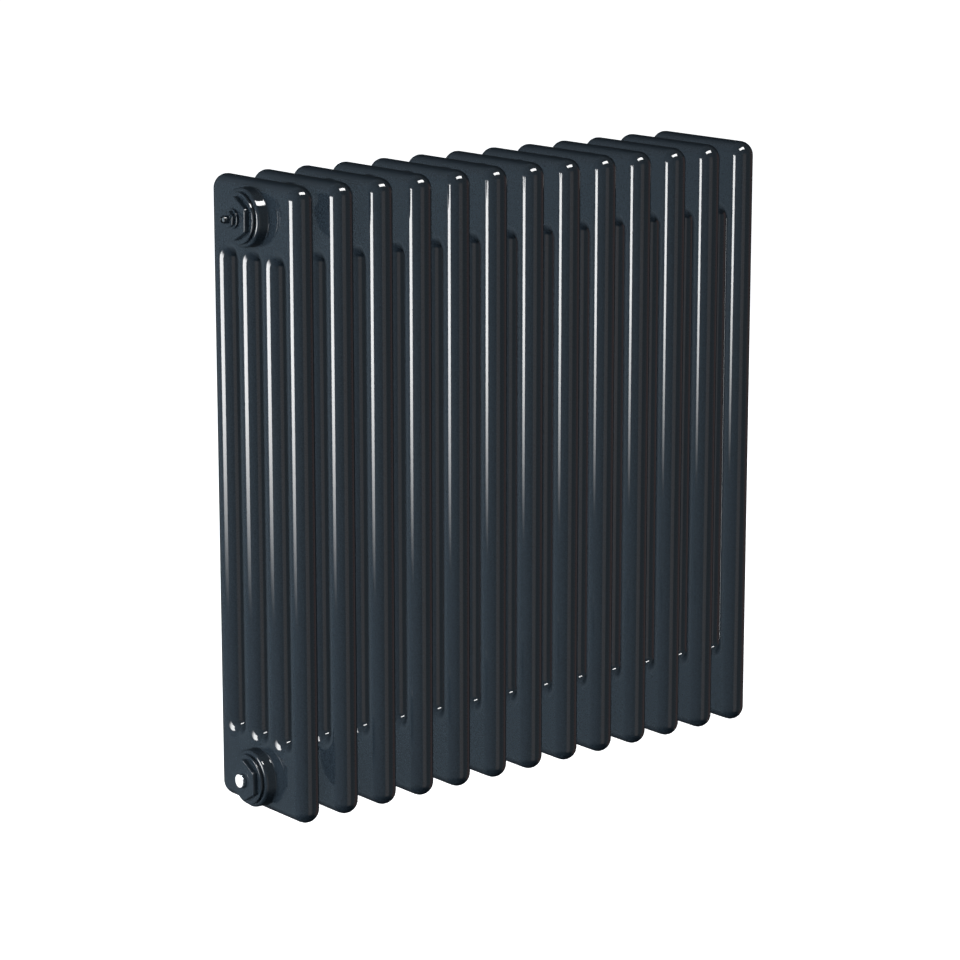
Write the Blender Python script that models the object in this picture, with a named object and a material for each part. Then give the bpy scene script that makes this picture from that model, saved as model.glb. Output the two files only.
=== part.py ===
"""Four-column tubular steel radiator of thirteen welded sections, with an air vent and a blanking plug.

Metres. +X runs along the radiator away from the vented end, -Y is the front and +Z is up. The origin is
on the level of the underside, below the middle of the whole length, vent included.

Every fitting is drawn once, round its own axis, with its outward end towards -X. A distance called "out" is
measured from the flat side of the end section. The right-hand fittings are the same shapes turned about Z.
"""

import math

import bmesh
import bpy

# Overall sizes
SECTIONS = 13
HEIGHT = 0.600
PITCH = 0.045
COLUMNS = 4
COLUMN_PITCH = 0.038
TUBE_RADIUS = 0.0125
WALL = 0.0015
GAP = 0.0003

# Section: a flat head at each end of four tubes, every edge rounded to the tube's own radius
FLAT_CORNER = 0.0015
HUB_BORE = 0.019
HUB_LEDGE = 0.002
SLOT_LEDGE = 0.0065
CORNER_STEPS = 2
SLOT_STEPS = 3
ROUND_STEPS = 4
HUB_SEGMENTS = 12

# Weld rings between the sections and the threaded bosses at the ends
RING_WALL = 0.0085
BOSS_LENGTH = 0.0114
BOSS_ROUND = 0.003
BOSS_BORE = 0.0198
BOSS_SEGMENTS = 24

# Reducing bush and its gasket
BUSH_WALL = 0.0035
BUSH_INNER_END = 0.001
FLANGE_RADIUS = 0.024
FLANGE_THICKNESS = 0.0022
HEX_ACROSS = 0.036
HEX_HEIGHT = 0.0047
HEX_CHAMFER = 0.0007
GASKET_THICKNESS = 0.0008
GASKET_WIDTH = 0.0026
GASKET_ROOM = 0.0007
OPEN_PORT_BORE = 0.0095
OPEN_PORT_LENGTH = 0.014
SMALL_PORT_BORE = 0.0049
SMALL_PORT_LENGTH = 0.012

# Shank and O-ring shared by the air vent and the blanking plug
SHANK_LENGTH = 0.0113
O_RING_CORD = 0.00045
O_RING_ROOM = 0.00035
O_RING_SEGMENTS = 12
O_RING_SIDES = 6

# Air vent
VENT_FLANGE_RADIUS = 0.00935
VENT_FLANGE_THICKNESS = 0.0022
VENT_NECK_RADIUS = 0.0055
VENT_NECK_LENGTH = 0.0004
VENT_HEX_ACROSS = 0.0135
VENT_HEX_HEIGHT = 0.0028
VENT_COLLAR_WALL = 0.00076
VENT_COLLAR_LENGTH = 0.0063
VENT_RECESS_DEPTH = 0.0047
VENT_BORE = 0.0021
VENT_INLET = 0.0011
VENT_SEAT_THICKNESS = 0.0016
VENT_SEGMENTS = 12
SCREW_SQUARE = 0.0038
SCREW_HEAD_LENGTH = 0.0034
SCREW_SEGMENTS = 8
SEAL_LENGTH = 0.0012
SEAL_POINT = 0.0008

# Blanking plug
PLUG_RIM_RADIUS = 0.0072
PLUG_SCALLOP = 0.0006
PLUG_SCALLOPS = 12
PLUG_RIM_THICKNESS = 0.003
PLUG_FACE_RADIUS = 0.0063
PLUG_FACE_RISE = 0.0005

# The section's places, worked out from the sizes
DEPTH = COLUMN_PITCH * (COLUMNS - 1) + 2 * TUBE_RADIUS
CORNER_RADIUS = TUBE_RADIUS + FLAT_CORNER
HUB_HEIGHT = TUBE_RADIUS + HUB_LEDGE + HUB_BORE
HEAD_HEIGHT = HUB_HEIGHT + HUB_BORE + SLOT_LEDGE + COLUMN_PITCH / 2
RING_RADIUS = HUB_BORE + RING_WALL

# Places along a fitting's axis
BOSS_OUT = GAP + BOSS_LENGTH
GASKET_IN = BOSS_OUT + GAP
GASKET_OUT = GASKET_IN + GASKET_THICKNESS
FLANGE_IN = GASKET_OUT + GAP
FLANGE_OUT = FLANGE_IN + FLANGE_THICKNESS
HEX_OUT = FLANGE_OUT + HEX_HEIGHT
SEAT_OUT = HEX_OUT + GAP
SHANK_END = SEAT_OUT - SHANK_LENGTH
GROOVE_FLOOR = SEAT_OUT + 2 * O_RING_CORD + GAP
VENT_FLANGE_OUT = SEAT_OUT + VENT_FLANGE_THICKNESS
VENT_HEX_IN = VENT_FLANGE_OUT + VENT_NECK_LENGTH
VENT_HEX_OUT = VENT_HEX_IN + VENT_HEX_HEIGHT
VENT_OUT = VENT_HEX_OUT + VENT_COLLAR_LENGTH
VENT_RECESS_FLOOR = VENT_OUT - VENT_RECESS_DEPTH
VENT_SEAT = SHANK_END + VENT_SEAT_THICKNESS
SEAL_IN = VENT_SEAT + GAP
SEAL_OUT = SEAL_IN + SEAL_LENGTH
SCREW_IN = SEAL_OUT + GAP
SCREW_HEAD_IN = VENT_RECESS_FLOOR + GAP
SCREW_HEAD_OUT = SCREW_HEAD_IN + SCREW_HEAD_LENGTH
PLUG_RIM_OUT = SEAT_OUT + PLUG_RIM_THICKNESS
PLUG_OUT = PLUG_RIM_OUT + PLUG_FACE_RISE

# Radii that follow from the piece around them
BUSH_NECK = BOSS_BORE - GAP
BUSH_CUP = BUSH_NECK - BUSH_WALL
GASKET_INNER = BUSH_NECK + GASKET_ROOM
SHANK_RADIUS = SMALL_PORT_BORE - GAP
O_RING_RADIUS = SHANK_RADIUS + O_RING_ROOM + O_RING_CORD
GROOVE_RADIUS = O_RING_RADIUS + O_RING_CORD + O_RING_ROOM
SCREW_RADIUS = VENT_BORE - GAP
SEAL_RADIUS = SCREW_RADIUS
VENT_RECESS_RADIUS = SCREW_SQUARE * math.sqrt(0.5) + GAP
VENT_COLLAR_RADIUS = VENT_RECESS_RADIUS + VENT_COLLAR_WALL

# Where the pieces stand
VENT_REACH = VENT_OUT - HEX_OUT
MIDDLE = VENT_REACH / 2
FIRST_SECTION = MIDDLE - PITCH * (SECTIONS - 1) / 2
LEFT_SIDE = FIRST_SECTION - TUBE_RADIUS
RIGHT_SIDE = FIRST_SECTION + PITCH * (SECTIONS - 1) + TUBE_RADIUS
LEVELS = {"top": HEIGHT - HUB_HEIGHT, "bottom": HUB_HEIGHT}
SIDES = {"left": (LEFT_SIDE, 0.0), "right": (RIGHT_SIDE, math.pi)}
SAME_PLACE = 1e-6
HEX_TURNS = {
    ("top", "left"): 3.5,
    ("bottom", "left"): -1.0,
    ("top", "right"): 2.0,
    ("bottom", "right"): -3.0,
}

# Finishes: base colour, metallic value and roughness
PAINT = ((0.050, 0.065, 0.082), 0.0, 0.34)
CHROME = ((0.62, 0.63, 0.65), 1.0, 0.10)
RUBBER = ((0.012, 0.012, 0.013), 0.0, 0.65)


def clear_scene():
    for obj in list(bpy.data.objects):
        bpy.data.objects.remove(obj, do_unlink=True)


def material(name, finish):
    """A Principled material of one finish, for one sub-part."""
    colour, metallic, roughness = finish
    made = bpy.data.materials.new(name)
    made.use_nodes = True
    shader = made.node_tree.nodes["Principled BSDF"]
    shader.inputs["Base Color"].default_value = (*colour, 1.0)
    shader.inputs["Metallic"].default_value = metallic
    shader.inputs["Roughness"].default_value = roughness
    made.diffuse_color = (*colour, 1.0)
    return made


def mesh_from(bm, name):
    """A closed mesh from bm, its faces outward, its round faces smooth up to 40 degrees."""
    bmesh.ops.remove_doubles(bm, verts=bm.verts, dist=SAME_PLACE)
    bmesh.ops.recalc_face_normals(bm, faces=bm.faces)
    mesh = bpy.data.meshes.new(name)
    bm.to_mesh(mesh)
    bm.free()
    mesh.materials.append(None)
    mesh.shade_smooth()
    mesh.set_sharp_from_angle(angle=math.radians(40))
    return mesh


def piece(name, mesh, finish, location=(0, 0, 0), rotation=(0, 0, 0)):
    """One sub-part. Copies share a mesh, so each keeps its own material on the object."""
    obj = bpy.data.objects.new(name, mesh)
    bpy.context.scene.collection.objects.link(obj)
    obj.material_slots[0].link = "OBJECT"
    obj.material_slots[0].material = material(name, finish)
    obj.location = location
    obj.rotation_euler = rotation
    return obj


# Section


def arc(centre, radius, start, turn, steps):
    """Points of an arc in the Y-Z plane. Angles are in degrees, from +Y towards +Z."""
    angles = [math.radians(start + turn * step / steps) for step in range(steps + 1)]
    return [(centre[0] + radius * math.cos(a), centre[1] + radius * math.sin(a)) for a in angles]


def outlines(inset):
    """The section's edge and its slots, each moved into the metal by inset, as closed loops of (y, z)."""
    half = DEPTH / 2
    corner = CORNER_RADIUS - inset
    side = half - CORNER_RADIUS
    ends = (CORNER_RADIUS, HEIGHT - CORNER_RADIUS)
    slot_ends = (HEAD_HEIGHT, HEIGHT - HEAD_HEIGHT)
    edge = arc((side, ends[1]), corner, 0, 90, CORNER_STEPS)
    edge += arc((-side, ends[1]), corner, 90, 90, CORNER_STEPS)
    edge += [(inset - half, slot_ends[1]), (inset - half, slot_ends[0])]
    edge += arc((-side, ends[0]), corner, 180, 90, CORNER_STEPS)
    edge += arc((side, ends[0]), corner, 270, 90, CORNER_STEPS)
    edge += [(half - inset, slot_ends[0]), (half - inset, slot_ends[1])]
    loops = [edge]
    for slot in range(COLUMNS - 1):
        y = COLUMN_PITCH * (slot + 1 - COLUMNS / 2)
        radius = COLUMN_PITCH / 2 - TUBE_RADIUS + inset
        top = arc((y, slot_ends[1]), radius, 0, 180, SLOT_STEPS)
        bottom = arc((y, slot_ends[0]), radius, 180, 180, SLOT_STEPS)
        loops.append(top + bottom)
    return loops


def circle_loop(bm, x, z, radius, segments):
    """A closed ring of edges round an axis along X."""
    points = arc((0, z), radius, 0, 360, segments)[:-1]
    verts = [bm.verts.new((x, py, pz)) for py, pz in points]
    return [bm.edges.new(pair) for pair in zip(verts, verts[1:] + verts[:1])]


def skin(bm, radius, wall):
    """One skin of a section, rounded from flat side to flat side and open at both hubs."""
    layers = []
    for step in range(ROUND_STEPS + 1):
        angle = math.pi * (step / ROUND_STEPS - 0.5)
        x = radius * math.sin(angle)
        inset = wall + radius * (1 - math.cos(angle))
        layers.append([[bm.verts.new((x, y, z)) for y, z in loop] for loop in outlines(inset)])
    for lower, upper in zip(layers, layers[1:]):
        for near, far in zip(lower, upper):
            for i, vert in enumerate(near):
                bm.faces.new((near[i - 1], vert, far[i], far[i - 1]))
    bmesh.ops.remove_doubles(bm, verts=bm.verts, dist=SAME_PLACE)
    for x in (-radius, radius):
        edges = [e for e in bm.edges if e.is_boundary]
        edges = [e for e in edges if all(abs(v.co.x - x) < SAME_PLACE for v in e.verts)]
        for z in LEVELS.values():
            edges += circle_loop(bm, x, z, HUB_BORE, HUB_SEGMENTS)
        bmesh.ops.triangle_fill(bm, edges=edges, use_beauty=True)


def section_mesh():
    """A hollow section: an outer skin, an inner skin one wall in, and four hub openings."""
    whole = bmesh.new()
    for radius, wall in ((TUBE_RADIUS, 0.0), (TUBE_RADIUS - WALL, WALL)):
        one = bmesh.new()
        skin(one, radius, wall)
        mesh = bpy.data.meshes.new("skin")
        one.to_mesh(mesh)
        one.free()
        whole.from_mesh(mesh)
        bpy.data.meshes.remove(mesh)
    rims = [e for e in whole.edges if e.is_boundary]
    for side in (-1, 1):
        near = [e for e in rims if e.verts[0].co.x * side > 0]
        for z in LEVELS.values():
            pair = [e for e in near if abs(e.verts[0].co.z - z) < 2 * HUB_BORE]
            bmesh.ops.bridge_loops(whole, edges=pair)
    return mesh_from(whole, "section")


# Turned and milled shapes


def disc(radius):
    """A round outline: the same radius at every angle."""
    return lambda angle: radius


def flats(count, across):
    """A polygon outline of the given size across its flats, with one flat facing the side."""
    step = 2 * math.pi / count
    return lambda angle: across / 2 / math.cos((angle + step / 2) % step - step / 2)


def scallops(count, radius, depth):
    """A round outline with evenly spaced hollows of the given depth."""
    return lambda angle: radius - depth * (1 - math.cos(count * angle)) / 2


def turned(name, stations, segments):
    """A body lofted through its stations, each an out distance and an outline, round the axis along X.

    The stations run round the wall and close on themselves, or start and end on the axis.
    """
    bm = bmesh.new()
    angles = [2 * math.pi * i / segments for i in range(segments)]
    rings = []
    for out, outline in stations:
        spokes = [(outline(a), a) for a in angles]
        rings.append([bm.verts.new((-out, r * math.cos(a), r * math.sin(a))) for r, a in spokes])
    solid = stations[0][1](0) == 0
    pairs = list(zip(rings, rings[1:]))
    if not solid:
        pairs.append((rings[-1], rings[0]))
    for near, far in pairs:
        for i, vert in enumerate(near):
            bm.faces.new((near[i - 1], vert, far[i], far[i - 1]))
    bmesh.ops.remove_doubles(bm, verts=bm.verts, dist=SAME_PLACE)
    bmesh.ops.dissolve_degenerate(bm, edges=bm.edges, dist=SAME_PLACE)
    return mesh_from(bm, name)


def tube_stations(low, high, inner, outer):
    """A plain ring from low to high."""
    return [(low, disc(inner)), (low, disc(outer)), (high, disc(outer)), (high, disc(inner))]


def boss_mesh():
    """The threaded end boss, its outer edge rounded."""
    shoulder = BOSS_ROUND * (1 - math.cos(math.radians(45)))
    stations = [
        (GAP, disc(BOSS_BORE)),
        (GAP, disc(RING_RADIUS)),
        (BOSS_OUT - BOSS_ROUND, disc(RING_RADIUS)),
        (BOSS_OUT - shoulder, disc(RING_RADIUS - shoulder)),
        (BOSS_OUT, disc(RING_RADIUS - BOSS_ROUND)),
        (BOSS_OUT, disc(BOSS_BORE)),
    ]
    return turned("end_boss", stations, BOSS_SEGMENTS)


def bush_mesh(name, bore, length):
    """A reducing bush: hollow neck in the boss, flange, hexagon, and the smaller port through its floor."""
    floor = HEX_OUT - length
    stations = [
        (BUSH_INNER_END, disc(BUSH_CUP)),
        (BUSH_INNER_END, disc(BUSH_NECK)),
        (FLANGE_IN, disc(BUSH_NECK)),
        (FLANGE_IN, disc(FLANGE_RADIUS)),
        (FLANGE_OUT, disc(FLANGE_RADIUS)),
        (FLANGE_OUT, flats(6, HEX_ACROSS)),
        (HEX_OUT - HEX_CHAMFER, flats(6, HEX_ACROSS)),
        (HEX_OUT, flats(6, HEX_ACROSS - 2 * HEX_CHAMFER)),
        (HEX_OUT, disc(bore)),
        (floor, disc(bore)),
        (floor, disc(BUSH_CUP)),
    ]
    return turned(name, stations, BOSS_SEGMENTS)


def o_ring_mesh():
    """A rubber ring of round cord, its section drawn with a few flat sides."""
    stations = []
    for side in range(O_RING_SIDES):
        angle = 2 * math.pi * side / O_RING_SIDES
        out = SEAT_OUT + O_RING_CORD * (1 + math.cos(angle))
        stations.append((out, disc(O_RING_RADIUS + O_RING_CORD * math.sin(angle))))
    return turned("o_ring", stations, O_RING_SEGMENTS)


def vent_body_mesh():
    """The vent's body: shank, O-ring seat, flange, hexagon and the collar round the screw's square head."""
    stations = [
        (SHANK_END, disc(VENT_INLET)),
        (SHANK_END, disc(SHANK_RADIUS)),
        (GROOVE_FLOOR, disc(SHANK_RADIUS)),
        (GROOVE_FLOOR, disc(GROOVE_RADIUS)),
        (SEAT_OUT, disc(GROOVE_RADIUS)),
        (SEAT_OUT, disc(VENT_FLANGE_RADIUS)),
        (VENT_FLANGE_OUT, disc(VENT_FLANGE_RADIUS)),
        (VENT_FLANGE_OUT, disc(VENT_NECK_RADIUS)),
        (VENT_HEX_IN, disc(VENT_NECK_RADIUS)),
        (VENT_HEX_IN, flats(6, VENT_HEX_ACROSS)),
        (VENT_HEX_OUT, flats(6, VENT_HEX_ACROSS)),
        (VENT_HEX_OUT, disc(VENT_COLLAR_RADIUS)),
        (VENT_OUT, disc(VENT_COLLAR_RADIUS)),
        (VENT_OUT, disc(VENT_RECESS_RADIUS)),
        (VENT_RECESS_FLOOR, disc(VENT_RECESS_RADIUS)),
        (VENT_RECESS_FLOOR, disc(VENT_BORE)),
        (VENT_SEAT, disc(VENT_BORE)),
        (VENT_SEAT, disc(VENT_INLET)),
    ]
    return turned("air_vent_body", stations, VENT_SEGMENTS)


def vent_screw_mesh():
    """The bleed screw: a round stem with a square head for the key."""
    stations = [
        (SCREW_IN, disc(0)),
        (SCREW_IN, disc(SCREW_RADIUS)),
        (SCREW_HEAD_IN, disc(SCREW_RADIUS)),
        (SCREW_HEAD_IN, flats(4, SCREW_SQUARE)),
        (SCREW_HEAD_OUT, flats(4, SCREW_SQUARE)),
        (SCREW_HEAD_OUT, disc(0)),
    ]
    return turned("air_vent_screw", stations, SCREW_SEGMENTS)


def vent_seal_mesh():
    """The soft tip that the screw presses on the seat."""
    stations = [
        (SEAL_IN, disc(0)),
        (SEAL_IN, disc(SEAL_POINT)),
        ((SEAL_IN + SEAL_OUT) / 2, disc(SEAL_RADIUS)),
        (SEAL_OUT, disc(SEAL_RADIUS)),
        (SEAL_OUT, disc(0)),
    ]
    return turned("air_vent_seal", stations, SCREW_SEGMENTS)


def plug_mesh():
    """The blanking plug: shank, O-ring seat and a low head with a scalloped rim."""
    rim = scallops(PLUG_SCALLOPS, PLUG_RIM_RADIUS, PLUG_SCALLOP)
    stations = [
        (SHANK_END, disc(0)),
        (SHANK_END, disc(SHANK_RADIUS)),
        (GROOVE_FLOOR, disc(SHANK_RADIUS)),
        (GROOVE_FLOOR, disc(GROOVE_RADIUS)),
        (SEAT_OUT, disc(GROOVE_RADIUS)),
        (SEAT_OUT, rim),
        (PLUG_RIM_OUT, rim),
        (PLUG_OUT, disc(PLUG_FACE_RADIUS)),
        (PLUG_OUT, disc(0)),
    ]
    return turned("blanking_plug", stations, 2 * PLUG_SCALLOPS)


# The assembly


def add_sections():
    """The sections along X and the two rings that join each to the next."""
    mesh = section_mesh()
    half = PITCH / 2 - TUBE_RADIUS - GAP
    ring = turned("hub_ring", tube_stations(-half, half, HUB_BORE, RING_RADIUS), HUB_SEGMENTS)
    for number in range(1, SECTIONS + 1):
        x = FIRST_SECTION + PITCH * (number - 1)
        piece(f"section_{number:02d}", mesh, PAINT, (x, 0, 0))
        if number == SECTIONS:
            continue
        for level, z in LEVELS.items():
            piece(f"hub_ring_{level}_{number:02d}", ring, PAINT, (x + PITCH / 2, 0, z))


def add_ends():
    """A boss, a gasket and a reducing bush on each of the four ports."""
    boss = boss_mesh()
    gasket_stations = tube_stations(GASKET_IN, GASKET_OUT, GASKET_INNER, GASKET_INNER + GASKET_WIDTH)
    gasket = turned("bush_gasket", gasket_stations, BOSS_SEGMENTS)
    bushes = {
        "left": bush_mesh("small_port_bush", SMALL_PORT_BORE, SMALL_PORT_LENGTH),
        "right": bush_mesh("open_port_bush", OPEN_PORT_BORE, OPEN_PORT_LENGTH),
    }
    for side, (x, turn) in SIDES.items():
        for level, z in LEVELS.items():
            place = (x, 0, z)
            hex_turn = math.radians(HEX_TURNS[level, side])
            piece(f"end_boss_{level}_{side}", boss, PAINT, place, (0, 0, turn))
            piece(f"bush_gasket_{level}_{side}", gasket, RUBBER, place, (0, 0, turn))
            piece(f"reducing_bush_{level}_{side}", bushes[side], PAINT, place, (hex_turn, 0, turn))


def add_air_vent(o_ring):
    """The air vent in the upper left bush. Its screw and seal have their origins on its axis."""
    place = (LEFT_SIDE, 0, LEVELS["top"])
    piece("air_vent_body", vent_body_mesh(), PAINT, place)
    piece("air_vent_o_ring", o_ring, RUBBER, place)
    piece("air_vent_screw", vent_screw_mesh(), CHROME, place)
    piece("air_vent_seal", vent_seal_mesh(), RUBBER, place)


def add_blanking_plug(o_ring):
    """The blanking plug in the lower left bush."""
    place = (LEFT_SIDE, 0, LEVELS["bottom"])
    piece("blanking_plug", plug_mesh(), CHROME, place)
    piece("blanking_plug_o_ring", o_ring, RUBBER, place)


clear_scene()
add_sections()
add_ends()
o_ring_shape = o_ring_mesh()
add_air_vent(o_ring_shape)
add_blanking_plug(o_ring_shape)
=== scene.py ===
"""Looks for a four-column tubular steel radiator with an air vent and a blanking plug.

Metres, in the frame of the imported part: +X runs along the radiator away from the vented end, -Y is the
front and +Z is up. A fitting is made round its own axis with its outward end towards -X. A distance called
"out" is measured from the flat side of the end section, as far as the fitting stands out of it.
"""

import logging
import math
from collections.abc import Callable, Iterable, Sequence
from dataclasses import dataclass, field
from enum import Enum

import bmesh
import bpy
from mathutils import Matrix, Vector


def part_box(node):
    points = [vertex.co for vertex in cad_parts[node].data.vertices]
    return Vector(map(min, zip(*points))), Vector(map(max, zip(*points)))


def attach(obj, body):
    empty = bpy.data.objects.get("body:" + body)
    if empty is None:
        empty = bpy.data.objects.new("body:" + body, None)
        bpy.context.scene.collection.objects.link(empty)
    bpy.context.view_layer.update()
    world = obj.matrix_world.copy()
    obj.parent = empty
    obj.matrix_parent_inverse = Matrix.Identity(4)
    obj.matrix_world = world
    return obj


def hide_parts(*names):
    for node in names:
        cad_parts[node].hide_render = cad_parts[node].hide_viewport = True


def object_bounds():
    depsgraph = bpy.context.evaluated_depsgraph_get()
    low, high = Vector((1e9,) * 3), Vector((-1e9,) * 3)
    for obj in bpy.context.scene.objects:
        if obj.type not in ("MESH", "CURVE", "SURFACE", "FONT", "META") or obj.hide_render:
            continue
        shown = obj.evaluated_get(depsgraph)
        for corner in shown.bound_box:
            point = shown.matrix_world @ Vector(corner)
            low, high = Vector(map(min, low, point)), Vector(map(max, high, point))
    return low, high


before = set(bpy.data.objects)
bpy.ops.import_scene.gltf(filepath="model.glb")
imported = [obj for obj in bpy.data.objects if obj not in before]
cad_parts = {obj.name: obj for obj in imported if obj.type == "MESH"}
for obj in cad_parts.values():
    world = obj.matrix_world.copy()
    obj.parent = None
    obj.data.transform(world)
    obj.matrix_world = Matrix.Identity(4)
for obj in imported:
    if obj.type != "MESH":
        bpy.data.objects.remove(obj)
cad_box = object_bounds()

SAME_PLACE = 1e-6
NEARBY = 1e-5
OVERLAP = 0.0003  # how far a hexagon reaches into the flange under it
FULL_TURN = 2 * math.pi
SHARP_ANGLE = math.radians(38)
log = logging.getLogger("radiator")


class Level(Enum):
    """The two headers."""

    TOP = "top"
    BOTTOM = "bottom"


class End(Enum):
    """The two ends of the radiator. The vented end is the left one."""

    LEFT = "left"
    RIGHT = "right"


class Slot(Enum):
    """The record's material slots."""

    PAINT = "paint"
    CHROME = "chrome"
    RUBBER = "rubber"


# Finishes


class NodeSketch:
    """A new material's node tree, with short calls to add and join nodes."""

    def __init__(self, name: str) -> None:
        """Starts a material with only a Principled shader and an output.

        Args:
            name: The material's name.
        """
        self.material = bpy.data.materials.new(name)
        self.material.use_nodes = True
        self.tree = self.material.node_tree
        self.shader = self.tree.nodes["Principled BSDF"]

    def add(self, kind: str, **settings: object) -> bpy.types.Node:
        """Adds a node.

        Args:
            kind: The node's type, such as ShaderNodeTexNoise.
            **settings: Node properties, or default values of inputs, where a space in an input's name is "_".

        Returns:
            The node.
        """
        node = self.tree.nodes.new(kind)
        for key, value in settings.items():
            if hasattr(node, key):
                setattr(node, key, value)
            else:
                node.inputs[key.replace("_", " ")].default_value = value
        return node

    def join(self, source: bpy.types.NodeSocket, target: bpy.types.NodeSocket) -> None:
        """Links one socket to another."""
        self.tree.links.new(source, target)

    def object_pattern(self, scale: float) -> bpy.types.NodeSocket:
        """Object coordinates through a Mapping node.

        Args:
            scale: Pattern cells per metre.

        Returns:
            The mapped vector.
        """
        place = self.add("ShaderNodeTexCoord")
        mapping = self.add("ShaderNodeMapping", Scale=(scale, scale, scale))
        self.join(place.outputs["Object"], mapping.inputs["Vector"])
        return mapping.outputs["Vector"]

    def noise(self, cells: float, detail: float, roughness: float) -> bpy.types.NodeSocket:
        """A noise pattern over the object.

        Args:
            cells: Noise cells per metre.
            detail: The noise's detail.
            roughness: The noise's roughness.

        Returns:
            The noise's value, from 0 to 1.
        """
        noise = self.add("ShaderNodeTexNoise", Scale=1.0, Detail=detail, Roughness=roughness)
        self.join(self.object_pattern(cells), noise.inputs["Vector"])
        return noise.outputs["Fac"]

    def spread(self, value: bpy.types.NodeSocket, low: float, high: float) -> bpy.types.NodeSocket:
        """Maps the middle of a noise, from 0.3 to 0.7, onto a range.

        Args:
            value: The noise's value.
            low: The result at 0.3.
            high: The result at 0.7.

        Returns:
            The mapped value.
        """
        span = self.add("ShaderNodeMapRange", From_Min=0.3, From_Max=0.7, To_Min=low, To_Max=high)
        self.join(value, span.inputs["Value"])
        return span.outputs["Result"]

    def tint(self, value: bpy.types.NodeSocket, low: Sequence[float], high: Sequence[float]) -> None:
        """Drives the base colour from one colour to another.

        Args:
            value: The share of the second colour.
            low: The first colour.
            high: The second colour.
        """
        mix = self.add("ShaderNodeMix", data_type="RGBA")
        sockets = {socket.identifier: socket for socket in mix.inputs}
        sockets["A_Color"].default_value = (*low, 1.0)
        sockets["B_Color"].default_value = (*high, 1.0)
        self.join(value, sockets["Factor_Float"])
        outputs = {socket.identifier: socket for socket in mix.outputs}
        self.join(outputs["Result_Color"], self.shader.inputs["Base Color"])

    def bump(self, height: bpy.types.NodeSocket, depth: float, strength: float) -> None:
        """Raises the surface by a pattern.

        Args:
            height: The pattern.
            depth: The height of the pattern in metres.
            strength: The share of the slope that shows.
        """
        bump = self.add("ShaderNodeBump", Distance=depth, Strength=strength)
        self.join(height, bump.inputs["Height"])
        self.join(bump.outputs["Normal"], self.shader.inputs["Normal"])


@dataclass(frozen=True)
class PowderCoat:
    """Satin anthracite powder coat: a smooth melted film with a very fine grain."""

    name: str = "anthracite_powder_coat"
    deep: tuple[float, float, float] = (0.0110, 0.0160, 0.0215)
    light: tuple[float, float, float] = (0.0210, 0.0305, 0.0410)
    gloss: tuple[float, float] = (0.045, 0.060)
    grain_cells: float = 750.0
    grain_depth: float = 0.00003
    grain_strength: float = 0.20
    cloud_cells: float = 16.0

    def material(self) -> bpy.types.Material:
        """The finish as a node material."""
        sketch = NodeSketch(self.name)
        sketch.shader.inputs["IOR"].default_value = 1.5
        grain = sketch.noise(self.grain_cells, 3.0, 0.65)
        sketch.tint(sketch.spread(grain, 0.0, 1.0), self.deep, self.light)
        cloud = sketch.noise(self.cloud_cells, 2.0, 0.5)
        sketch.join(sketch.spread(cloud, *self.gloss), sketch.shader.inputs["Roughness"])
        sketch.bump(grain, self.grain_depth, self.grain_strength)
        return sketch.material


@dataclass(frozen=True)
class PolishedChrome:
    """Bright chrome plate with faint polishing marks."""

    name: str = "polished_chrome"
    deep: tuple[float, float, float] = (0.60, 0.61, 0.63)
    light: tuple[float, float, float] = (0.68, 0.69, 0.71)
    gloss: tuple[float, float] = (0.07, 0.13)
    mark_cells: float = 900.0

    def material(self) -> bpy.types.Material:
        """The finish as a node material."""
        sketch = NodeSketch(self.name)
        sketch.shader.inputs["Metallic"].default_value = 1.0
        marks = sketch.noise(self.mark_cells, 2.0, 0.6)
        sketch.tint(sketch.spread(marks, 0.0, 1.0), self.deep, self.light)
        sketch.join(sketch.spread(marks, *self.gloss), sketch.shader.inputs["Roughness"])
        sketch.bump(marks, 0.00001, 0.05)
        return sketch.material


@dataclass(frozen=True)
class PaintedReflectionFace:
    """Near-white satin paint on the plug's face: a painted reflection of a white light, with faint marks."""

    name: str = "painted_reflection_face"
    # The near-white colour is a painted reflection of a white light, not the metal's own colour.
    deep: tuple[float, float, float] = (0.90, 0.90, 0.90)
    light: tuple[float, float, float] = (0.95, 0.95, 0.95)
    gloss: tuple[float, float] = (0.34, 0.42)
    metal: float = 0.2
    mark_cells: float = 900.0

    def material(self) -> bpy.types.Material:
        """The painted reflection as a node material."""
        sketch = NodeSketch(self.name)
        sketch.shader.inputs["Metallic"].default_value = self.metal
        marks = sketch.noise(self.mark_cells, 2.0, 0.6)
        sketch.tint(sketch.spread(marks, 0.0, 1.0), self.deep, self.light)
        sketch.join(sketch.spread(marks, *self.gloss), sketch.shader.inputs["Roughness"])
        return sketch.material


@dataclass(frozen=True)
class BlackRubber:
    """Dull black rubber with a fine moulded grain."""

    name: str = "black_rubber"
    deep: tuple[float, float, float] = (0.0045, 0.0045, 0.0050)
    light: tuple[float, float, float] = (0.0090, 0.0090, 0.0100)
    gloss: tuple[float, float] = (0.50, 0.70)
    grain_cells: float = 1500.0

    def material(self) -> bpy.types.Material:
        """The finish as a node material."""
        sketch = NodeSketch(self.name)
        grain = sketch.noise(self.grain_cells, 2.0, 0.6)
        sketch.tint(sketch.spread(grain, 0.0, 1.0), self.deep, self.light)
        sketch.join(sketch.spread(grain, *self.gloss), sketch.shader.inputs["Roughness"])
        sketch.bump(grain, 0.00002, 0.2)
        return sketch.material


class Finishes:
    """The object's materials, made once each and shared by the pieces."""

    def __init__(self) -> None:
        """Makes every material."""
        self.by_slot = {
            Slot.PAINT: PowderCoat().material(),
            Slot.CHROME: PolishedChrome().material(),
            Slot.RUBBER: BlackRubber().material(),
        }
        # Near-white paint standing in for a white light reflected in the plug's face: a painted reflection.
        self.painted_reflection = PaintedReflectionFace().material()


# Shapes


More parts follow.
